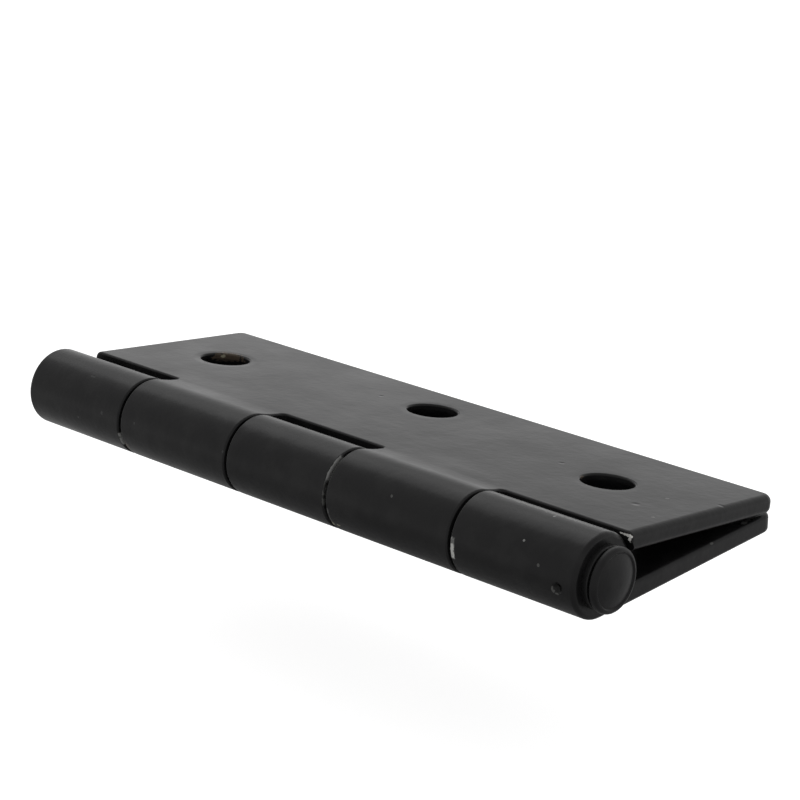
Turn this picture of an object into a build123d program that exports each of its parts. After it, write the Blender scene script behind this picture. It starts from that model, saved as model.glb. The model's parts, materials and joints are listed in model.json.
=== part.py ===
from build123d import *
import os
from math import acos, asin, atan2, cos, degrees, hypot, radians, sin, sqrt, tan

# A butt hinge of painted sheet steel, folded shut: two leaves with rolled knuckles on one headed pin.
# +X runs along the pin to its head, +Y from the barrel to the free edges of the leaves, and +Z up.
# The fixed leaf lies flat, its outer face on z = 0, and y = 0 is the line of its two outer screw holes.
# Sizes are in millimetres and angles in degrees.

# Sheet and barrel
sheet = 2.1
pin_diameter = 4.5
pin_clearance = 0.05
hinge_length = 80.0
end_knuckle = 15.5
swing_knuckle = 16.6
knuckle_gap = 0.35
seam_gap = 0.2

# Reverse bend that sets the swing leaf in from the barrel's outside, where the fixed leaf is flush with it
swing_set_in = 0.45
reverse_bend_radius = 16.0

# Leaves: reach is measured from the pin's axis to the free edge
fixed_reach = 29.1
swing_reach = 28.2
swing_left_setback = 1.3
swing_right_overhang = 0.5
closed_gap = 0.15

# Notches that clear the other leaf's knuckles
notch_clearance = 0.3
cope_clearance = 0.2
fold_back_angle = 82.0
notch_corner_radius = 0.6

# Edges softened by shearing and paint
fixed_edge_round = 0.5
swing_edge_round = 0.8
notch_edge_round = 0.25
fixed_corner_radius = 1.5
swing_corner_radius = 1.2

# Screw holes, countersunk from the inner faces
screw_hole_diameter = 5.7
countersink_diameter = 8.6
countersink_angle = 90.0
hole_rim_round = 0.25
hole_pitch = 28.4
hole_shift = 0.3
outer_hole_reach = 15.7
middle_hole_reach = 20.6

# Pin head: a collar, a groove and a domed button with a fine groove inside its rim
collar_diameter = 6.5
collar_thickness = 0.65
collar_rim_round = 0.15
groove_diameter = 5.8
groove_width = 0.25
button_diameter = 6.7
button_thickness = 0.8
button_crown = 0.32
button_rim_round = 0.45
button_base_round = 0.15
rim_width = 0.15
dish_depth = 0.12
pin_end_recess = 0.4
pin_end_chamfer = 0.4

# Punch mark that stakes the pin in the end knuckle
punch_from_end = 2.0
punch_diameter = 1.3
punch_depth = 0.5
punch_angle = 4.0

# Derived sizes
bore_radius = pin_diameter / 2 + pin_clearance
barrel_radius = bore_radius + sheet
swing_outer = barrel_radius - swing_set_in
swing_inner = swing_outer - sheet
half_length = hinge_length / 2
end_knuckle_inner = half_length - end_knuckle
swing_knuckle_outer = end_knuckle_inner - knuckle_gap
swing_knuckle_inner = swing_knuckle_outer - swing_knuckle
middle_knuckle_half = swing_knuckle_inner - knuckle_gap
swing_left = -half_length + swing_left_setback
swing_right = half_length + swing_right_overhang
fixed_notch_depth = sqrt((barrel_radius + notch_clearance) ** 2 - bore_radius**2)
swing_notch_depth = sqrt((barrel_radius + notch_clearance) ** 2 - swing_inner**2)
head_notch_depth = swing_outer * tan(radians(fold_back_angle / 2))
countersink_depth = (countersink_diameter - screw_hole_diameter) / 2 / tan(radians(countersink_angle / 2))
cut_margin = barrel_radius
tolerance = 0.001

# The swing leaf is shut when its inner free edge comes within closed_gap of the fixed leaf's inner face
closed_angle = degrees(
    acos((closed_gap - bore_radius) / hypot(swing_inner, swing_reach)) - atan2(swing_reach, swing_inner)
)


def rolled_section(reach, set_in):
    """Section across the pin: a flat sheet, outer face down, with its edge rolled round the pin to a seam.

    The outer face lies set_in above the roll's lowest line, and a reverse bend joins the two.
    """
    outer = barrel_radius - set_in
    inner = outer - sheet
    root = degrees(acos((outer + reverse_bend_radius) / (barrel_radius + reverse_bend_radius)))
    seam_angle = degrees(asin((inner - seam_gap) / barrel_radius))
    roll = 270 + root + seam_angle
    seam_y = cos(radians(seam_angle))
    seam_z = -sin(radians(seam_angle))
    bend_y = (barrel_radius + reverse_bend_radius) * sin(radians(root))
    bend_centre = (bend_y, -outer - reverse_bend_radius)
    outline = [
        Line((bend_y, -inner), (reach, -inner)),
        Line((reach, -inner), (reach, -outer)),
        Line((reach, -outer), (bend_y, -outer)),
        CenterArc((0, 0), barrel_radius, 270 + root, -roll),
        Line((barrel_radius * seam_y, barrel_radius * seam_z), (bore_radius * seam_y, bore_radius * seam_z)),
        CenterArc((0, 0), bore_radius, -seam_angle, roll),
    ]
    if set_in > 0:
        outline += [
            CenterArc(bend_centre, reverse_bend_radius, 90, root),
            CenterArc(bend_centre, reverse_bend_radius + sheet, 90 + root, -root),
        ]
    return Plane.YZ * make_face(outline)


def notch_cutter(x_low, x_high, depth, inner):
    """Clears the roll above the inner face, and the sheet back to depth from the pin's axis."""
    front = barrel_radius + cut_margin
    width = x_high - x_low
    middle = (x_low + x_high) / 2
    through = Pos(middle, (depth - front) / 2, 0) * Box(width, front + depth, 2 * front)
    above_sheet = Pos(middle, 0, (front - inner) / 2) * Box(width, 2 * front, front + inner)
    return through + above_sheet


def cope_cutter(x_low, x_high):
    """A round bar that bevels a notch's inner edge clear of the knuckle that turns in it."""
    bar = Cylinder(barrel_radius + cope_clearance, x_high - x_low, rotation=(0, 90, 0))
    return Pos((x_low + x_high) / 2, 0, 0) * bar


def screw_holes(inner):
    """Cutters for the three holes, staggered, each widening to a countersink on the sheet's inner face."""
    cutters = []
    shank = screw_hole_diameter / 2
    for x, y in (
        (-hole_pitch, outer_hole_reach),
        (0, middle_hole_reach),
        (hole_pitch, outer_hole_reach),
    ):
        drill = Pos(x - hole_shift, y, -inner - sheet / 2) * Cylinder(shank, sheet)
        sink = Pos(x - hole_shift, y, -inner - countersink_depth / 2) * Cone(
            shank, countersink_diameter / 2, countersink_depth
        )
        cutters += [drill, sink]
    return cutters


def rim_edges(leaf, x_plane, radius):
    """The arcs of the given radius on the end of a knuckle at x_plane."""
    arcs = leaf.edges().filter_by(GeomType.CIRCLE)
    arcs = arcs.filter_by(lambda edge: abs(edge.arc_center.X - x_plane) < tolerance)
    return arcs.filter_by(lambda edge: abs(edge.radius - radius) < tolerance)


def upright_edges(leaf, x, y):
    """The sheet's upright corner edges at x, y."""
    upright = leaf.edges().filter_by(Axis.Z)
    return upright.filter_by(lambda edge: hypot(edge.center().X - x, edge.center().Y - y) < tolerance)


def free_edges(leaf, reach):
    """The two long edges of the sheet along its free end."""
    along = leaf.edges().filter_by(Axis.X)
    return along.filter_by(lambda edge: abs(edge.center().Y - reach) < tolerance)


def soften(leaf, x_plane, radius):
    """Rounds the outer and inner rims of the knuckle end at x_plane, on round the sheet's outline."""
    for rim in (barrel_radius, bore_radius):
        edges = rim_edges(leaf, x_plane, rim)
        if edges:
            leaf = fillet(edges, radius)
    return leaf


def drill_leaf(leaf, inner):
    """Cuts the screw holes and rounds their rims on the outer face."""
    leaf -= screw_holes(inner)
    rims = leaf.edges().filter_by(GeomType.CIRCLE)
    rims = rims.filter_by(lambda edge: abs(edge.arc_center.Z + inner + sheet) < tolerance)
    rims = rims.filter_by(lambda edge: abs(edge.radius - screw_hole_diameter / 2) < tolerance)
    return fillet(rims, hole_rim_round)


def punch_cutter():
    """A pointed punch, half sunk into the front of the end knuckle beside the pin's head."""
    point = Cone(0, punch_diameter, 2 * punch_depth)
    at_front = Pos(half_length - punch_from_end, -barrel_radius, 0) * Rot(X=90)
    return Rot(X=punch_angle) * at_front * point


def make_fixed_leaf():
    """The lower leaf, with the two end knuckles and the middle one."""
    leaf = Pos(-half_length, 0, 0) * extrude(rolled_section(fixed_reach, 0), amount=hinge_length)
    for side in (-1, 1):
        ends = sorted((side * middle_knuckle_half, side * end_knuckle_inner))
        leaf -= notch_cutter(*ends, fixed_notch_depth, bore_radius)
        for x in ends:
            leaf = fillet(upright_edges(leaf, x, fixed_notch_depth), notch_corner_radius)
        leaf = fillet(upright_edges(leaf, side * half_length, fixed_reach), fixed_corner_radius)
    leaf = soften(leaf, -half_length, fixed_edge_round)
    for side in (-1, 1):
        leaf = soften(leaf, side * end_knuckle_inner, notch_edge_round)
    leaf = drill_leaf(leaf, bore_radius)
    return leaf - punch_cutter()


def make_swing_leaf():
    """The upper leaf, with the two knuckles between those of the fixed leaf, modelled outer face down."""
    section = rolled_section(swing_reach, swing_set_in)
    leaf = Pos(swing_left, 0, 0) * extrude(section, amount=swing_right - swing_left)
    leaf -= notch_cutter(-swing_knuckle_inner, swing_knuckle_inner, swing_notch_depth, swing_inner)
    leaf -= notch_cutter(swing_left - cut_margin, -swing_knuckle_outer, swing_notch_depth, swing_inner)
    leaf -= notch_cutter(swing_knuckle_outer, swing_right + cut_margin, head_notch_depth, swing_inner)
    for x in (-swing_knuckle_outer, -swing_knuckle_inner, swing_knuckle_inner):
        leaf = fillet(upright_edges(leaf, x, swing_notch_depth), notch_corner_radius)
    leaf = fillet(upright_edges(leaf, swing_knuckle_outer, head_notch_depth), notch_corner_radius)
    for end in (swing_left, swing_right):
        leaf = fillet(upright_edges(leaf, end, swing_reach), swing_corner_radius)
    leaf = fillet(free_edges(leaf, swing_reach), swing_edge_round)
    for x in (-swing_knuckle_outer, -swing_knuckle_inner, swing_knuckle_outer):
        leaf = soften(leaf, x, notch_edge_round)
    leaf -= cope_cutter(swing_knuckle_outer, swing_right + cut_margin)
    return drill_leaf(leaf, swing_inner)


def make_hinge_pin():
    """The pin, turned about its axis: a plain end, a shank through the knuckles and a stepped button head."""
    shank = pin_diameter / 2
    left = -half_length + pin_end_recess
    seat = half_length
    groove = seat + collar_thickness
    base = groove + groove_width
    face = base + button_thickness
    collar_radius = collar_diameter / 2
    groove_radius = groove_diameter / 2
    button_radius = button_diameter / 2
    rim_inner = button_radius - button_rim_round - rim_width
    dome_edge = (face - dish_depth, rim_inner)
    apex = face + button_crown
    outline = [
        Polyline(
            (left, 0),
            (left, shank - pin_end_chamfer),
            (left + pin_end_chamfer, shank),
            (seat, shank),
            (seat, collar_radius),
            (groove - collar_rim_round, collar_radius),
        ),
        RadiusArc(
            (groove - collar_rim_round, collar_radius),
            (groove, collar_radius - collar_rim_round),
            collar_rim_round,
        ),
        Polyline(
            (groove, collar_radius - collar_rim_round),
            (groove, groove_radius),
            (base, groove_radius),
            (base, button_radius - button_base_round),
        ),
        RadiusArc(
            (base, button_radius - button_base_round),
            (base + button_base_round, button_radius),
            button_base_round,
        ),
        Line((base + button_base_round, button_radius), (face - button_rim_round, button_radius)),
        RadiusArc(
            (face - button_rim_round, button_radius),
            (face, button_radius - button_rim_round),
            button_rim_round,
        ),
        Line((face, button_radius - button_rim_round), dome_edge),
        ThreePointArc(dome_edge, crown_point(dome_edge, apex), (apex, 0)),
        Line((apex, 0), (left, 0)),
    ]
    return revolve(make_face(outline), axis=Axis.X)


def crown_point(edge, apex):
    """A point midway up the shallow dome that rises from edge to apex on the pin's axis."""
    rise = apex - edge[0]
    sphere = (edge[1] ** 2 + rise**2) / (2 * rise)
    half_angle = asin(edge[1] / sphere) / 2
    return (apex - sphere + sphere * cos(half_angle), sphere * sin(half_angle))


on_axis = Pos(0, -outer_hole_reach, barrel_radius)
nodes = {
    "fixed_leaf": on_axis * make_fixed_leaf(),
    "swing_leaf": on_axis * Rot(X=-closed_angle) * mirror(make_swing_leaf(), about=Plane.XY),
    "hinge_pin": on_axis * make_hinge_pin(),
}

os.makedirs("parts", exist_ok=True)
for name, solid in nodes.items():
    export_step(solid, f"parts/{name}.step")
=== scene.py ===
import json
import math

import bpy
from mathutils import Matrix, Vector

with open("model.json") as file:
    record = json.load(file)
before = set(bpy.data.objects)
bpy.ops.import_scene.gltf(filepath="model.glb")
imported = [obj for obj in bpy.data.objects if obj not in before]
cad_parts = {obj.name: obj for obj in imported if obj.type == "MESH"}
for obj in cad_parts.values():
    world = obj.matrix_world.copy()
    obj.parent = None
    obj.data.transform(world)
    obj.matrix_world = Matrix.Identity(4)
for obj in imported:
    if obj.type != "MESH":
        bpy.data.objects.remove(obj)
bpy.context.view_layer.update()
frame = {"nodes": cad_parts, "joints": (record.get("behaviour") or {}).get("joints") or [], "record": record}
scene = bpy.context.scene
MM = 0.001

# Camera at the photograph's viewing angle: degrees, pixels, millimetres of sensor, and metres
camera_azimuth = 42.454
camera_elevation = 20.115
camera_focal_px = 2355.69
picture_px = 800
camera_sensor = 36.0
camera_at = Vector((163.67, -179.366, 97.075)) * MM
camera_clip = (0.01, 20.0)

# Pin axis and barrel from the frame, in millimetres: the fixed leaf's outer face, z 0, touches the barrel
axis_at = Vector(frame["joints"][0]["pos_m"]) / MM
barrel_radius = axis_at.z

# Shut swing leaf from the frame: the ways out of its face and along it, and the face's distance from the axis
mounts = {mount["name"]: mount for mount in frame["record"]["mounts"]}
leaf_out = Vector(mounts["swing_leaf_face"]["axis"])
leaf_along = Vector((0.0, leaf_out.z, -leaf_out.y))
swing_outer = (Vector(mounts["swing_leaf_face"]["pos_m"]) / MM - axis_at).dot(leaf_out)

# Worn lines at the knuckles' edges: where they lie along the pin, in millimetres from the barrel's middle
first_knuckle_end = -24.55
second_knuckle_start = -23.9
third_knuckle_end = 7.16
fourth_knuckle_start = 7.72
fifth_knuckle_start = 24.86

# World: white where it is seen or mirrored, and a plain fill light on the hinge
white_level = 1.0
fill_level = 0.6

# Floor: metres across, and millimetres down, low enough for the swing leaf when it is folded back past flat
floor_size = 6.0
floor_z = -21.5
floor_colour = (0.7, 0.7, 0.7, 1.0)

# Lift of the floor to white: where it is seen, and where it is mirrored, between two reaches in millimetres.
# The mirrored lift is low near the hinge, as painted shade round it in the paint's reflections
seen_lift = 0.76
near_lift = 0.05
far_lift = 0.6
near_reach = 50.0
far_reach = 180.0

# Softbox above the free edges of the leaves, towards the plain end: metres and watts
softbox_at = Vector((-0.42, 0.32, 0.70))
softbox_width = 0.7
softbox_height = 0.5
softbox_power = 1.5

# Colours of the paint, of what shows where it is worn, and of painted highlights and painted shade
paint_colour = (0.006, 0.0059, 0.0063)
dust_colour = (0.022, 0.0217, 0.0215)
fresh_colour = (0.72, 0.71, 0.68)
steel_colour = (0.50, 0.50, 0.48)
worn_colour = (0.20, 0.20, 0.195)
# Light grey for faint wear, and for painted highlights on the fifth knuckle and round the punch mark
faint_wear_and_highlight_colour = (0.075, 0.075, 0.072)
speck_colour = (0.034, 0.034, 0.034)
# Primer for chips, and for a painted light spot inside a hole
primer_and_lit_wall_colour = (0.26, 0.25, 0.18)
rust_colour = (0.065, 0.05, 0.037)
# Near black, for the painted shade in the punch mark's hollow
pit_shade_colour = (0.002, 0.002, 0.002)

# Shine of the paint, and how far it varies: each noise, here and below, has a scale per metre and a detail
paint_specular = 0.13
paint_roughness = 0.31
pin_roughness = 0.36
roughness_spread = 0.03
roughness_noise = (140.0, 4.0)
roughness_levels = (0.25, 0.75)

# Dust in the paint: its noise, the levels of the noise where it starts and where it is full, and its share
dust_layers = [
    ((55.0, 3.0), (0.35, 0.75), 0.22),
    ((380.0, 4.0), (0.42, 0.68), 0.3),
]

# Bump: a step of height in millimetres, the share of it that shows, and the paint's peel as noises and steps
bump_step = 0.02
bump_share = 0.65
peel_layers = [
    ((1500.0, 2.0), 1.0),
    ((600.0, 2.0), 2.0),
]

# Edges of the marks: the noise that frays them, and the noise that breaks up the lines
fray_noise = (2600.0, 3.0)
fray_levels = (0.2, 0.8)
fray_share = 0.35
break_noise = (1300.0, 2.0)
break_levels = (0.38, 0.5)
break_share = 0.25

# Where a mark has its full colour, as shares of its size
spot_core = 0.8
line_core = 0.6
line_end_core = 0.75

# Dents in the swing leaf, in bump steps
dent_depth = 5.0

# Dips round the swing leaf's holes: depths from the plain end, in bump steps, and widths in millimetres
hole_dips = (10.0, 5.0, 3.5)
dip_inside_rim = 0.5
dip_outside_rim = 1.1

# Bow of the swing leaf: its crown's reach from the axis, and how far from there it has fallen by a bump step
bow_reach = 10.0
bow_radii = (5.55, 5.0, math.inf)

# Run-out of the swing leaf's bends: its reach from the axis and its width, in millimetres
bend_reach = 2.5
bend_width = 6.0

# Punch mark on the fifth knuckle, in millimetres
punch_depth = 0.3


class Tree:
    """The node tree of a material or a world, with short calls for the nodes used here."""

    def __init__(self, owner):
        owner.use_nodes = True
        self.nodes = owner.node_tree.nodes
        self.links = owner.node_tree.links

    def add(self, kind):
        return self.nodes.new("ShaderNode" + kind)

    def put(self, value, socket):
        """Links another node's output to a socket, or gives the socket a plain value."""
        if isinstance(value, bpy.types.NodeSocket):
            self.links.new(value, socket)
        else:
            socket.default_value = value

    def math(self, operation, a, b=0.0):
        node = self.add("Math")
        node.operation = operation
        self.put(a, node.inputs[0])
        self.put(b, node.inputs[1])
        return node.outputs["Value"]

    def vector(self, operation, a, b=(0.0, 0.0, 0.0)):
        node = self.add("VectorMath")
        node.operation = operation
        self.put(a, node.inputs[0])
        self.put(b, node.inputs[1])
        return node.outputs["Value" if operation == "LENGTH" else "Vector"]

    def ramp(self, value, low, high, to_low=0.0, to_high=1.0, kind="SMOOTHSTEP"):
        node = self.add("MapRange")
        node.interpolation_type = kind
        levels = {"Value": value, "From Min": low, "From Max": high, "To Min": to_low, "To Max": to_high}
        for name, level in levels.items():
            self.put(level, node.inputs[name])
        return node.outputs["Result"]

    def most(self, masks):
        total = masks[0]
        for mask in masks[1:]:
            total = self.math("MAXIMUM", total, mask)
        return total


class Coat(Tree):
    """A material of the hinge, with masks for the marks on it. Places and sizes are in millimetres."""

    def __init__(self, name):
        self.material = bpy.data.materials.new(name)
        super().__init__(self.material)
        self.place = self.add("TexCoord").outputs["Object"]
        self.fray = self.ramp(self.noise(*fray_noise), *fray_levels, -fray_share, fray_share)

    def noise(self, scale, detail):
        node = self.add("TexNoise")
        self.put(scale, node.inputs["Scale"])
        self.put(detail, node.inputs["Detail"])
        self.put(self.place, node.inputs["Vector"])
        return node.outputs["Fac"]

    def mix(self, mask, a, b):
        """Colour a where the mask is 0, and b where it is 1."""
        node = self.add("Mix")
        node.data_type = "RGBA"
        self.put(mask, node.inputs["Factor"])
        self.put(a if isinstance(a, bpy.types.NodeSocket) else (*a, 1), node.inputs["A"])
        self.put(b if isinstance(b, bpy.types.NodeSocket) else (*b, 1), node.inputs["B"])
        return node.outputs["Result"]

    def away(self, centre, radii):
        """Distance from a point of the part, with each axis measured in a radius of its own."""
        offset = self.vector("SUBTRACT", self.place, tuple(c * MM for c in centre))
        return self.vector("LENGTH", self.vector("MULTIPLY", offset, tuple(1 / (r * MM) for r in radii)))

    def spot(self, centre, radii):
        """A patch round a point of the part, with a frayed rim."""
        return self.ramp(self.math("ADD", self.away(centre, radii), self.fray), 1.0, spot_core)

    def line(self, x, half_width, low, high):
        """A broken line round the barrel at x, between two angles up from the side that faces -Y."""
        split = self.add("SeparateXYZ")
        self.put(self.place, split.inputs["Vector"])
        forward = self.math("SUBTRACT", axis_at.y * MM, split.outputs["Y"])
        above = self.math("SUBTRACT", split.outputs["Z"], axis_at.z * MM)
        turn = self.math("SUBTRACT", self.math("ARCTAN2", above, forward), math.radians((low + high) / 2))
        along = self.math("DIVIDE", self.math("ABSOLUTE", turn), math.radians((high - low) / 2))
        aside = self.math("ABSOLUTE", self.math("SUBTRACT", split.outputs["X"], x * MM))
        across = self.math("ADD", self.math("DIVIDE", aside, half_width * MM), self.fray)
        whole = self.math("MULTIPLY", self.ramp(along, 1.0, line_end_core), self.ramp(across, 1.0, line_core))
        return self.math("MULTIPLY", whole, self.ramp(self.noise(*break_noise), *break_levels, break_share))


def on_barrel(x, up, radius=barrel_radius):
    """A point on the barrel: x along the pin, and the angle up from the side that faces -Y."""
    angle = math.radians(up)
    return axis_at + Vector((x, -radius * math.cos(angle), radius * math.sin(angle)))


def on_swing_leaf(x, reach, rise=swing_outer):
    """A point of the shut swing leaf: reach from the pin's axis along it, rise from the axis square to it."""
    return axis_at + Vector((x, 0.0, 0.0)) + leaf_along * reach + leaf_out * rise


def round_spot(centre, radius):
    """A round mark, as a centre and radii."""
    return centre, (radius, radius, radius)


def paint(name, roughness=paint_roughness, lines=(), spots=(), swells=(), rings=(), bow=None):
    """Satin black powder coat with a fine peel, worn, dented and bent in the given places, with painted light
    and shade where given.

    Each line, and each group of spots, comes after the colour that shows there. Swells and rings end with a
    height in bump steps, and the bow is a centre and radii.
    """
    coat = Coat(name)
    colour = paint_colour
    for noise, levels, share in dust_layers:
        dust = coat.ramp(coat.noise(*noise), *levels, 0.0, share)
        colour = coat.mix(dust, colour, dust_colour)
    height = 0.0
    for noise, steps in peel_layers:
        height = coat.math("ADD", height, coat.math("MULTIPLY", coat.noise(*noise), steps))
    marks = [(under, [coat.line(*line)]) for under, line in lines]
    marks += [(under, [coat.spot(*spot) for spot in group]) for under, group in spots]
    for under, masks in marks:
        mask = coat.most(masks)
        colour = coat.mix(mask, colour, under)
        height = coat.math("SUBTRACT", height, mask)
    for centre, radii, steps in swells:
        height = coat.math("ADD", height, coat.ramp(coat.away(centre, radii), 1.0, 0.0, 0.0, steps))
    for centre, inner, outer, steps in rings:
        from_axis = coat.away(centre, (1.0, 1.0, math.inf))
        height = coat.math("ADD", height, coat.ramp(from_axis, inner, outer, 0.0, steps))
    if bow:
        height = coat.math("SUBTRACT", height, coat.math("POWER", coat.away(*bow), 2.0))
    bump = coat.add("Bump")
    coat.put(bump_share, bump.inputs["Strength"])
    coat.put(bump_step * MM, bump.inputs["Distance"])
    coat.put(height, bump.inputs["Height"])
    least = roughness - roughness_spread
    most = roughness + roughness_spread
    varied = coat.ramp(coat.noise(*roughness_noise), *roughness_levels, least, most)
    shader = coat.nodes["Principled BSDF"]
    coat.put(paint_specular, shader.inputs["Specular IOR Level"])
    coat.put(colour, shader.inputs["Base Color"])
    coat.put(varied, shader.inputs["Roughness"])
    coat.put(bump.outputs["Normal"], shader.inputs["Normal"])
    return coat.material


def fixed_leaf_paint():
    """Worn knuckle edges, the punch mark with painted shade in its hollow and a painted highlight on its rim,
    nicks, specks, light spots, and a painted highlight along the fifth knuckle's top, of the lower leaf.
    """
    worn_edges = [
        (worn_colour, (third_knuckle_end, 0.13, 25.0, 74.0)),
        (faint_wear_and_highlight_colour, (third_knuckle_end, 0.13, -10.0, 30.0)),
        (steel_colour, (fifth_knuckle_start, 0.28, -18.0, 15.0)),
        (worn_colour, (first_knuckle_end, 0.16, -36.0, -10.0)),
    ]
    # Painted shade: a near-black spot in the punch mark's hollow, where shade falls
    punch_pit_shade = [round_spot(on_barrel(38.0, -4.0, barrel_radius - punch_depth), 0.5)]
    # Painted highlight: lighter spots on the lower-left rim of the punch mark's hollow
    punch_rim_highlight = [
        (on_barrel(37.38, -7.0), (0.12, 0.25, 0.28)),
        (on_barrel(37.55, -10.5), (0.16, 0.2, 0.2)),
        (on_barrel(37.95, -12.6), (0.3, 0.2, 0.1)),
    ]
    nicks = [
        round_spot(on_barrel(33.07, 39.6), 0.16),
        (on_barrel(33.81, 94.5), (0.14, 0.3, 0.2)),
    ]
    # Light spots on the lower leaf's top edge at its end by the pin's head
    edge_light_spots = [
        ((39.4, 8.75, 2.08), (0.3, 0.4, 0.1)),
        ((39.87, 2.5, 1.94), (0.18, 0.25, 0.15)),
    ]
    # A painted highlight as a thin light line along the fifth knuckle's top by the slit, and a light spot on
    # its front
    knuckle_highlight_and_spot = [
        (on_barrel(31.5, 104.0), (7.5, 0.4, 0.25)),
        round_spot(on_barrel(35.51, 16.7), 0.18),
    ]
    specks = [
        round_spot(on_barrel(-31.39, -8.4), 0.16),
        (on_barrel(-30.96, 59.4), (0.4, 0.12, 0.12)),
        round_spot(on_barrel(-27.31, 11.5), 0.2),
    ]
    return paint(
        "fixed_leaf_paint",
        lines=worn_edges,
        spots=[
            (pit_shade_colour, punch_pit_shade),
            (worn_colour, nicks),
            (faint_wear_and_highlight_colour, edge_light_spots + knuckle_highlight_and_spot + punch_rim_highlight),
            (speck_colour, specks),
        ],
    )


def hole_rings():
    """The dips round the swing leaf's three screw holes, from the plain end."""
    outer = mounts["swing_leaf_outer_screws"]
    middle = mounts["swing_leaf_middle_screw"]
    half_pitch = outer["dims"]["pcd_mm"] / 2
    inner_edge = outer["dims"]["hole_r_mm"] - dip_inside_rim
    outer_edge = outer["dims"]["hole_r_mm"] + dip_outside_rim
    rings = []
    for mount, shift, steps in zip((outer, middle, outer), (-half_pitch, 0.0, half_pitch), hole_dips):
        at = Vector(mount["pos_m"]) / MM - axis_at
        centre = on_swing_leaf(at.x + shift, at.dot(leaf_along))
        rings.append((centre, inner_edge, outer_edge, steps))
    return rings


def swing_leaf_paint():
    """The chipped corner by the pin's head, worn knuckle edges, stains, painted light on the far wall inside
    a hole, dents and bow of the upper leaf.
    """
    worn_edges = [
        (faint_wear_and_highlight_colour, (fourth_knuckle_start, 0.25, -34.0, -8.0)),
        (rust_colour, (second_knuckle_start, 0.35, -42.0, -22.0)),
    ]
    chipped_corner = [
        (on_swing_leaf(39.2, 3.43, 3.56), (0.3, 0.2, 0.1)),
        (on_swing_leaf(39.55, 3.43, 3.54), (0.3, 0.2, 0.12)),
        (on_swing_leaf(39.9, 3.43, 3.52), (0.3, 0.2, 0.14)),
        (on_swing_leaf(40.2, 3.45, 3.48), (0.22, 0.25, 0.18)),
        (on_swing_leaf(40.2, 3.45, 3.2), (0.18, 0.25, 0.25)),
        (on_swing_leaf(40.2, 3.45, 2.85), (0.13, 0.25, 0.3)),
    ]
    knuckle_chips = [
        (on_barrel(7.78, -38.0), (0.22, 0.35, 0.35)),
        (on_barrel(8.6, -37.0), (0.25, 0.15, 0.15)),
    ]
    # Rust stains at the holes; the large one inside the hole at the plain end is also painted light on its
    # lit far wall
    hole_rust_and_lit_wall = [
        (on_swing_leaf(-30.2, 17.6, 3.4), (2.2, 1.6, 0.7)),
        (on_swing_leaf(25.31, 14.9, 3.8), (0.2, 0.5, 0.2)),
    ]
    # Painted light: a light spot on the lit far wall inside the hole at the plain end
    hole_wall_light_spot = [(on_swing_leaf(-30.9, 17.5, 3.62), (0.4, 0.32, 0.18))]
    specks = [
        round_spot(on_barrel(-21.88, 13.6), 0.16),
        round_spot(on_barrel(-7.8, 17.8), 0.18),
    ]
    scuffs = [
        round_spot(on_barrel(16.04, 37.5), 0.16),
        (on_swing_leaf(35.12, 16.39), (0.2, 0.25, 0.2)),
        (on_swing_leaf(38.37, 9.55), (0.2, 0.25, 0.2)),
    ]
    dents = [
        (*round_spot(on_swing_leaf(-7.59, 20.05), 0.4), -dent_depth),
        (*round_spot(on_swing_leaf(21.17, 16.82), 0.5), -dent_depth),
        (*round_spot(on_swing_leaf(34.7, 11.66), 0.6), -dent_depth),
        (*round_spot(on_swing_leaf(39.75, 19.3), 0.45), -dent_depth),
    ]
    bend_run_outs = [
        (on_swing_leaf(-17.0, bend_reach), (11.0, bend_width, math.inf), 8.0),
        (on_swing_leaf(15.5, bend_reach), (10.0, bend_width, math.inf), 10.0),
    ]
    return paint(
        "swing_leaf_paint",
        lines=worn_edges,
        spots=[
            (fresh_colour, chipped_corner),
            (primer_and_lit_wall_colour, knuckle_chips),
            (rust_colour, hole_rust_and_lit_wall),
            (primer_and_lit_wall_colour, hole_wall_light_spot),
            (speck_colour, specks),
            (faint_wear_and_highlight_colour, scuffs),
        ],
        swells=dents + bend_run_outs,
        rings=hole_rings(),
        bow=(on_swing_leaf(0.0, bow_reach), bow_radii),
    )


def dress():
    """Gives each node its paint."""
    paints = {
        "fixed_leaf": fixed_leaf_paint(),
        "swing_leaf": swing_leaf_paint(),
        "hinge_pin": paint("pin_paint", pin_roughness),
    }
    for name, material in paints.items():
        mesh = frame["nodes"][name].data
        mesh.materials.clear()
        mesh.materials.append(material)


def make_camera():
    """The camera that was fitted to the photograph."""
    data = bpy.data.cameras.new("camera")
    data.sensor_width = camera_sensor
    data.lens = camera_focal_px / picture_px * camera_sensor
    data.clip_start, data.clip_end = camera_clip
    camera = bpy.data.objects.new("camera", data)
    turn = math.radians(camera_azimuth)
    rise = math.radians(camera_elevation)
    back = Vector((math.sin(turn) * math.cos(rise), -math.cos(turn) * math.cos(rise), math.sin(rise)))
    camera.location = camera_at
    camera.rotation_mode = "QUATERNION"
    camera.rotation_quaternion = (-back).to_track_quat("-Z", "Y")
    scene.collection.objects.link(camera)
    scene.camera = camera


def make_world():
    """White where it is seen or mirrored, and a plain fill light on the object."""
    scene.world = bpy.data.worlds.new("studio")
    tree = Tree(scene.world)
    rays = tree.add("LightPath").outputs
    shown = tree.most([rays["Is Camera Ray"], rays["Is Glossy Ray"], rays["Is Transmission Ray"]])
    background = tree.nodes["Background"]
    tree.put((1, 1, 1, 1), background.inputs["Color"])
    tree.put(tree.ramp(shown, 0.0, 1.0, fill_level, white_level, "LINEAR"), background.inputs["Strength"])


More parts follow.
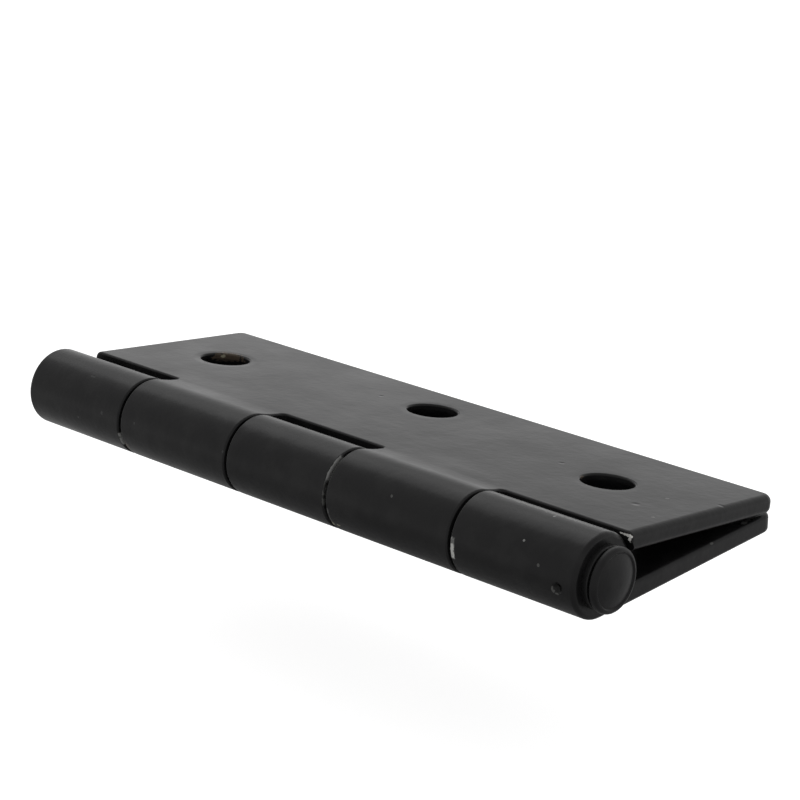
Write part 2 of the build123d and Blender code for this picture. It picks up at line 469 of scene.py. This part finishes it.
def floor_paint():
    """Pale, lifted to white with a faint shadow left, and clear when seen from below."""
    material = bpy.data.materials.new("floor_white")
    tree = Tree(material)
    tree.nodes.remove(tree.nodes["Principled BSDF"])
    away = tree.vector("LENGTH", tree.add("TexCoord").outputs["Object"])
    mirrored_lift = tree.ramp(away, near_reach * MM, far_reach * MM, near_lift, far_lift, "LINEAR")
    lifts = {"Is Camera Ray": seen_lift, "Is Transmission Ray": seen_lift, "Is Glossy Ray": mirrored_lift}
    rays = tree.add("LightPath").outputs
    strength = 0.0
    for ray, lift in lifts.items():
        strength = tree.math("ADD", strength, tree.math("MULTIPLY", rays[ray], lift))
    pale = tree.add("BsdfDiffuse")
    tree.put(floor_colour, pale.inputs["Color"])
    white = tree.add("Emission")
    tree.put(strength, white.inputs["Strength"])
    both = tree.add("AddShader")
    tree.put(pale.outputs["BSDF"], both.inputs[0])
    tree.put(white.outputs["Emission"], both.inputs[1])
    one_way = tree.add("MixShader")
    tree.put(tree.add("NewGeometry").outputs["Backfacing"], one_way.inputs["Fac"])
    tree.put(both.outputs["Shader"], one_way.inputs[1])
    tree.put(tree.add("BsdfTransparent").outputs["BSDF"], one_way.inputs[2])
    tree.put(one_way.outputs["Shader"], tree.nodes["Material Output"].inputs["Surface"])
    return material


def make_floor():
    """A floor under the hinge, which isn't part of it."""
    bpy.ops.mesh.primitive_plane_add(size=floor_size, location=(0, 0, floor_z * MM))
    floor = bpy.context.object
    floor.name = "floor"
    floor.data.materials.append(floor_paint())


def make_softbox():
    """A soft lamp that faces the hinge."""
    data = bpy.data.lights.new("softbox", "AREA")
    data.shape = "RECTANGLE"
    data.size = softbox_width
    data.size_y = softbox_height
    data.energy = softbox_power
    lamp = bpy.data.objects.new("softbox", data)
    lamp.location = softbox_at
    lamp.rotation_mode = "QUATERNION"
    lamp.rotation_quaternion = (-softbox_at).to_track_quat("-Z", "Y")
    scene.collection.objects.link(lamp)


make_camera()
make_world()
make_floor()
make_softbox()
dress()
scene.view_settings.view_transform = "Standard"
